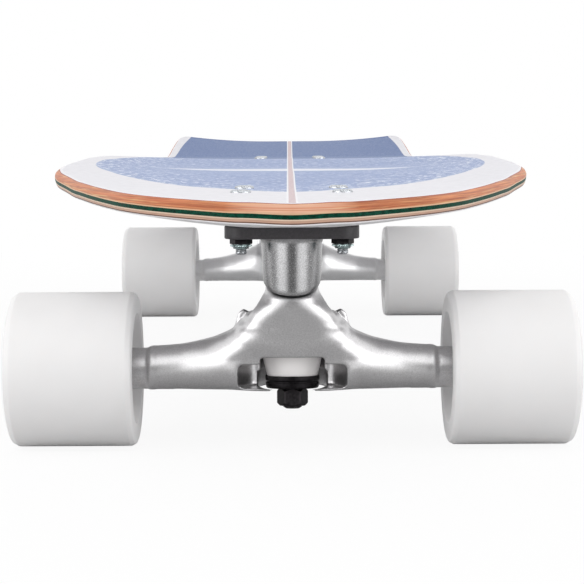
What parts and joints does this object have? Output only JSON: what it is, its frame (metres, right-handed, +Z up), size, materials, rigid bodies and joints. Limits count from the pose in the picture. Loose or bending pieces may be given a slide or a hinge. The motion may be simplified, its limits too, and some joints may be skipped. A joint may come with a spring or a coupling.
{
  "type": "surf skateboard",
  "caption": "Surf skateboard: pointed-nose maple deck with a kicked square tail on tall cast steering trucks, sprung by bushings, with wide urethane wheels that spin on sealed bearings.",
  "frame": {"origin": "on the floor under the middle of the board's bounding box", "axes": "+Z up, nose towards -Y, tail towards +Y, X across the board"},
  "size_m": [0.26, 0.762, 0.1307],
  "materials": {
    "maple": "seven-ply maple under clear varnish, printed top",
    "plate_paint": "charcoal satin coat",
    "cast_alloy": "tumbled sand casting",
    "black_rubber": "matt moulded",
    "wheel_urethane": "white cast urethane with a satin skin",
    "bushing_urethane": "milky white urethane",
    "dark_steel": "black oxide steel",
    "zinc_steel": "zinc plated steel"
  },
  "bodies": {
    "board": {"deck": "maple", "front_mounting_plate": "plate_paint", "front_pivot_tower": "cast_alloy", "front_pivot_cup": "black_rubber", "front_kingpin": "dark_steel", "front_upper_bushing": "bushing_urethane", "front_lower_bushing": "bushing_urethane", "front_cup_washer": "dark_steel", "front_kingpin_nut": "dark_steel", "front_bolt_1": "zinc_steel", "front_lock_nut_1": "dark_steel", "front_bolt_2": "zinc_steel", "front_lock_nut_2": "dark_steel", "front_bolt_3": "zinc_steel", "front_lock_nut_3": "dark_steel", "front_bolt_4": "zinc_steel", "front_lock_nut_4": "dark_steel", "rear_mounting_plate": "plate_paint", "rear_pivot_tower": "cast_alloy", "rear_pivot_cup": "black_rubber", "rear_kingpin": "dark_steel", "rear_upper_bushing": "bushing_urethane", "rear_lower_bushing": "bushing_urethane", "rear_cup_washer": "dark_steel", "rear_kingpin_nut": "dark_steel", "rear_riser_pad": "black_rubber", "rear_bolt_1": "zinc_steel", "rear_lock_nut_1": "dark_steel", "rear_bolt_2": "zinc_steel", "rear_lock_nut_2": "dark_steel", "rear_bolt_3": "zinc_steel", "rear_lock_nut_3": "dark_steel", "rear_bolt_4": "zinc_steel", "rear_lock_nut_4": "dark_steel"},
    "front_hanger_body": {"front_hanger": "cast_alloy", "front_left_axle": "zinc_steel", "front_left_bearing_sleeve": "zinc_steel", "front_left_axle_nut": "zinc_steel", "front_right_axle": "zinc_steel", "front_right_bearing_sleeve": "zinc_steel", "front_right_axle_nut": "zinc_steel"},
    "rear_hanger_body": {"rear_hanger": "cast_alloy", "rear_right_axle": "zinc_steel", "rear_right_bearing_sleeve": "zinc_steel", "rear_right_axle_nut": "zinc_steel", "rear_left_axle": "zinc_steel", "rear_left_bearing_sleeve": "zinc_steel", "rear_left_axle_nut": "zinc_steel"},
    "front_left_wheel_body": {"front_left_wheel": "wheel_urethane", "front_left_inner_bearing": "zinc_steel", "front_left_outer_bearing": "zinc_steel"},
    "front_right_wheel_body": {"front_right_wheel": "wheel_urethane", "front_right_inner_bearing": "zinc_steel", "front_right_outer_bearing": "zinc_steel"},
    "rear_right_wheel_body": {"rear_right_wheel": "wheel_urethane", "rear_right_inner_bearing": "zinc_steel", "rear_right_outer_bearing": "zinc_steel"},
    "rear_left_wheel_body": {"rear_left_wheel": "wheel_urethane", "rear_left_inner_bearing": "zinc_steel", "rear_left_outer_bearing": "zinc_steel"}
  },
  "joints": [
    {"name": "front_steering", "type": "hinge", "parent": "board", "child": "front_hanger_body", "pos_m": [0, -0.2645, 0.07], "axis": [0, -0.4067, 0.9135], "range_deg": [-20, 20], "stiffness_Nm_per_rad": 20, "deforming": ["front_upper_bushing", "front_lower_bushing"]},
    {"name": "rear_steering", "type": "hinge", "parent": "board", "child": "rear_hanger_body", "pos_m": [0, 0.2455, 0.07], "axis": [0, 0.4067, 0.9135], "range_deg": [-20, 20], "stiffness_Nm_per_rad": 20, "deforming": ["rear_upper_bushing", "rear_lower_bushing"]},
    {"name": "front_left_wheel_spin", "type": "hinge", "parent": "front_hanger_body", "child": "front_left_wheel_body", "pos_m": [0.0915, -0.252, 0.0325], "axis": [1, 0, 0], "continuous": true},
    {"name": "front_right_wheel_spin", "type": "hinge", "parent": "front_hanger_body", "child": "front_right_wheel_body", "pos_m": [-0.0915, -0.252, 0.0325], "axis": [1, 0, 0], "continuous": true},
    {"name": "rear_left_wheel_spin", "type": "hinge", "parent": "rear_hanger_body", "child": "rear_left_wheel_body", "pos_m": [0.0937, 0.233, 0.0325], "axis": [1, 0, 0], "continuous": true},
    {"name": "rear_right_wheel_spin", "type": "hinge", "parent": "rear_hanger_body", "child": "rear_right_wheel_body", "pos_m": [-0.0937, 0.233, 0.0325], "axis": [1, 0, 0], "continuous": true}
  ]
}
